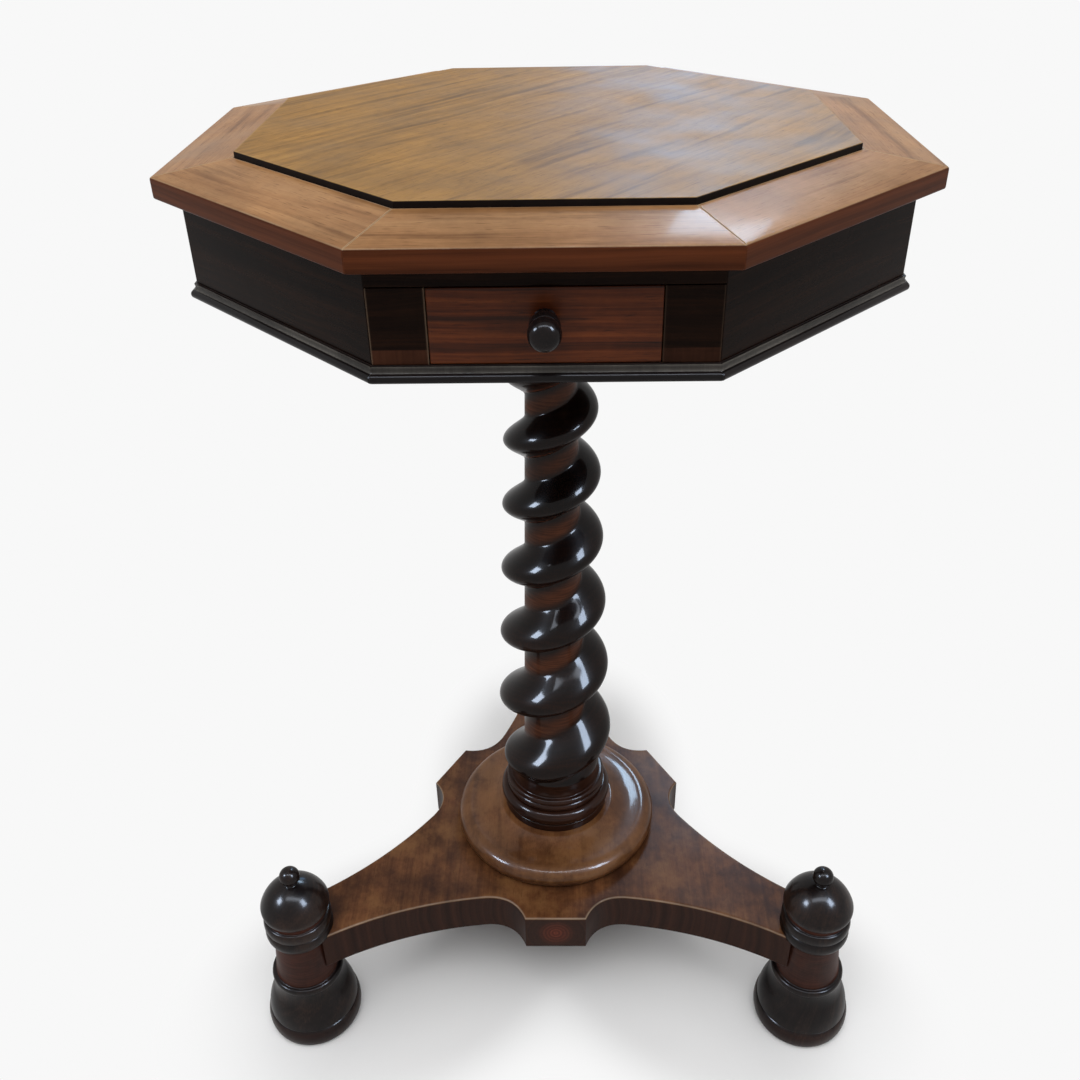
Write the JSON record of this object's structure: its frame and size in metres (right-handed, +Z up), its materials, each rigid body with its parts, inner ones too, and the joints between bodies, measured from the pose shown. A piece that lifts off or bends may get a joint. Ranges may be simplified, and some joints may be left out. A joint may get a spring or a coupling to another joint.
{
  "type": "lamp table",
  "caption": "Octagonal lamp table with a small frieze drawer, on a tapering barley-twist column and a shaped base with turned feet.",
  "frame": {"origin": "middle of the footprint's bounding box, on the floor; the column's axis stands 27 mm in front of it", "axes": "+Z up, -Y to the front, where the drawer opens, +X to the right as seen from the front"},
  "size_m": [0.51, 0.5218, 0.7292],
  "materials": {
    "panel_veneer": "polished figured veneer",
    "border_veneer": "polished veneer",
    "dark_rosewood": "French polished",
    "red_rosewood": "French polished",
    "mahogany": "worn French polish",
    "ebonised_wood": "ebonised and polished",
    "lining_pine": "bare wood"
  },
  "bodies": {
    "table": {"top_panel": "panel_veneer", "top_core": "lining_pine", "top_border_front": "border_veneer", "top_border_front_right": "border_veneer", "top_border_right": "border_veneer", "top_border_back_right": "border_veneer", "top_border_back": "border_veneer", "top_border_back_left": "border_veneer", "top_border_left": "border_veneer", "top_border_front_left": "border_veneer", "frieze_front_right": "dark_rosewood", "frieze_right": "dark_rosewood", "frieze_back_right": "dark_rosewood", "frieze_back": "dark_rosewood", "frieze_back_left": "dark_rosewood", "frieze_left": "dark_rosewood", "frieze_front_left": "dark_rosewood", "front_stile_left": "dark_rosewood", "front_stile_right": "dark_rosewood", "front_top_rail": "dark_rosewood", "bottom_board": "lining_pine", "moulding_front": "ebonised_wood", "moulding_front_right": "ebonised_wood", "moulding_right": "ebonised_wood", "moulding_back_right": "ebonised_wood", "moulding_back": "ebonised_wood", "moulding_back_left": "ebonised_wood", "moulding_left": "ebonised_wood", "moulding_front_left": "ebonised_wood", "drawer_guide_left": "lining_pine", "drawer_guide_right": "lining_pine", "drawer_kicker_left": "lining_pine", "drawer_kicker_right": "lining_pine", "drawer_stop": "lining_pine", "column_cap": "mahogany", "column": "dark_rosewood", "plinth_disc": "mahogany", "platform": "mahogany", "foot_back": "ebonised_wood", "foot_left": "ebonised_wood", "foot_right": "ebonised_wood"},
    "drawer": {"drawer_front": "red_rosewood", "drawer_side_left": "lining_pine", "drawer_side_right": "lining_pine", "drawer_back": "lining_pine", "drawer_bottom": "lining_pine", "drawer_knob": "ebonised_wood"}
  },
  "joints": [
    {"name": "drawer_slide", "type": "slide", "parent": "table", "child": "drawer", "axis": [0, -1, 0], "range_m": [0, 0.22]}
  ]
}
